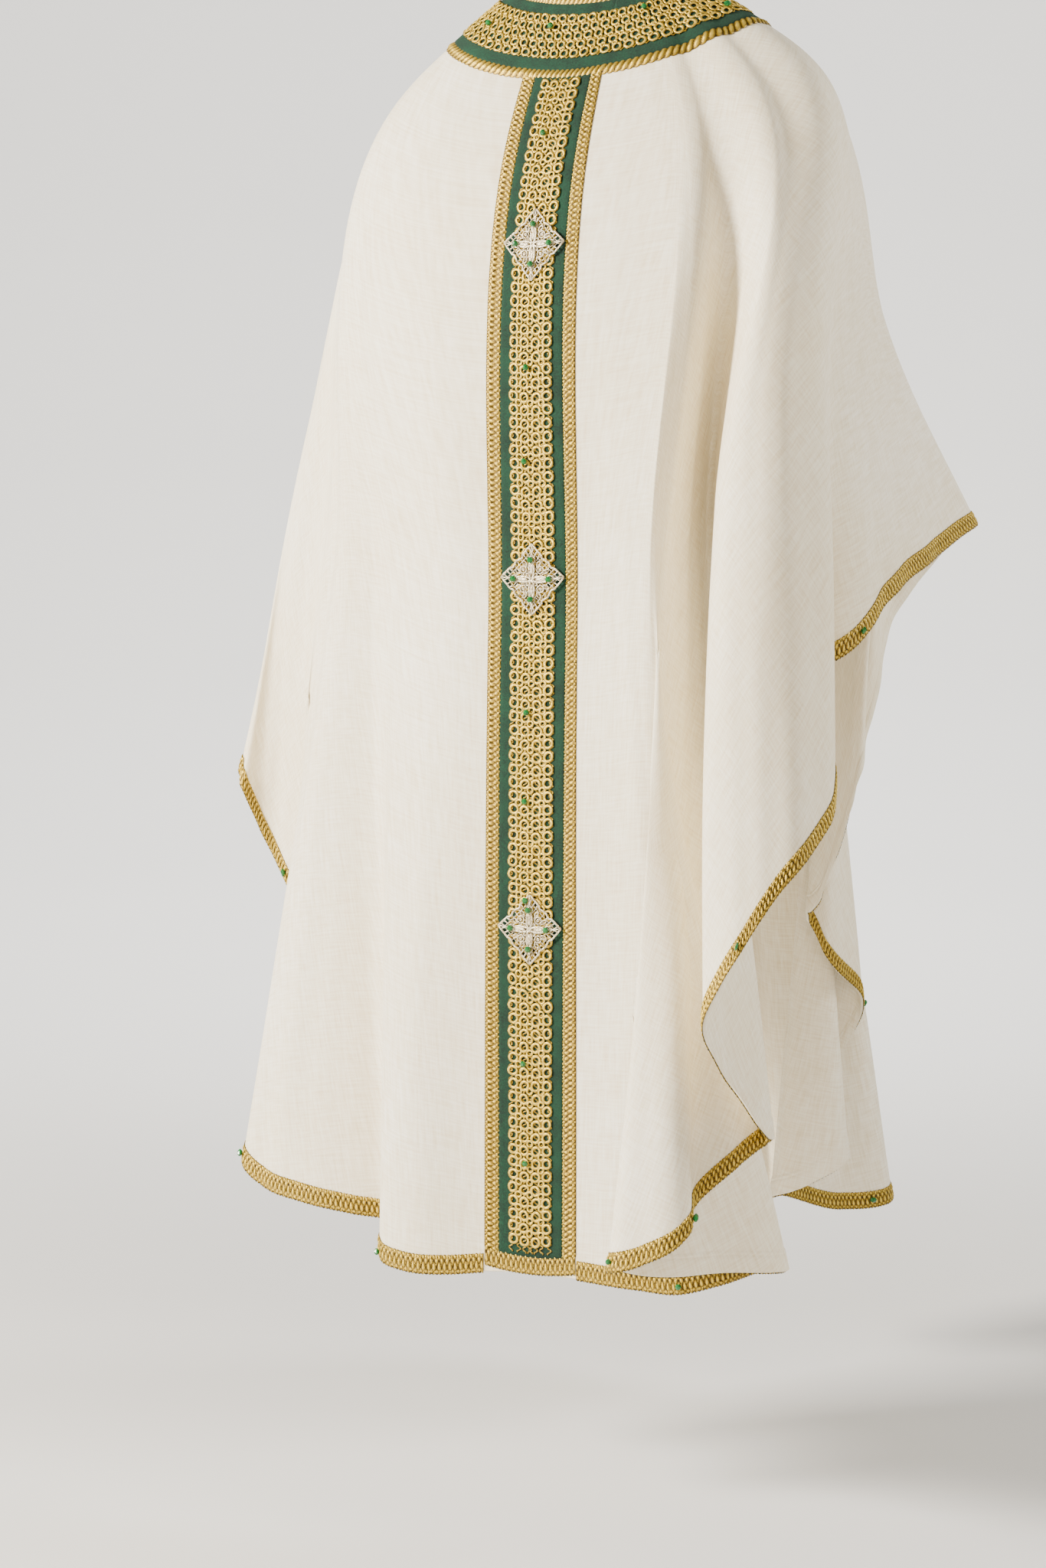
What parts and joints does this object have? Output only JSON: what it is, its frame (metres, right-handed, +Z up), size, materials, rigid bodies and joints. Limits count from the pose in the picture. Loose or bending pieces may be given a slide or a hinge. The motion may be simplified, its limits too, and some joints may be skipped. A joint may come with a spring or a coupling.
{
  "type": "chasuble",
  "caption": "Full ivory chasuble hanging in worn folds, with a green and gold yoke, back orphrey with three filigree diamonds, and gold galloon round the hem.",
  "frame": {"origin": "between the tops of the two shoulders, where the garment hangs from the wearer", "axes": "+Z up, -Y is the wearer's front, +X is the wearer's left"},
  "size_m": [0.729, 0.7616, 1.2967],
  "materials": {
    "ivory_cloth": "matt slubbed weave",
    "gold_braid": "metallic thread",
    "green_velvet": "deep pile",
    "silver_gold_thread": "metallic embroidery"
  },
  "bodies": {
    "root": {"back_panel": "ivory_cloth", "front_panel": "ivory_cloth", "hem_braid_back_left": "gold_braid", "hem_braid_back_right": "gold_braid", "hem_braid_front": "gold_braid", "orphrey_velvet": "green_velvet", "orphrey_lace": "gold_braid", "orphrey_braid_left": "gold_braid", "orphrey_braid_right": "gold_braid", "orphrey_braid_foot": "gold_braid", "diamond_upper": "silver_gold_thread", "diamond_middle": "silver_gold_thread", "diamond_lower": "silver_gold_thread", "yoke_neck_braid": "gold_braid", "yoke_velvet": "green_velvet", "yoke_lace": "gold_braid", "yoke_edge_braid": "gold_braid"}
  },
  "joints": []
}
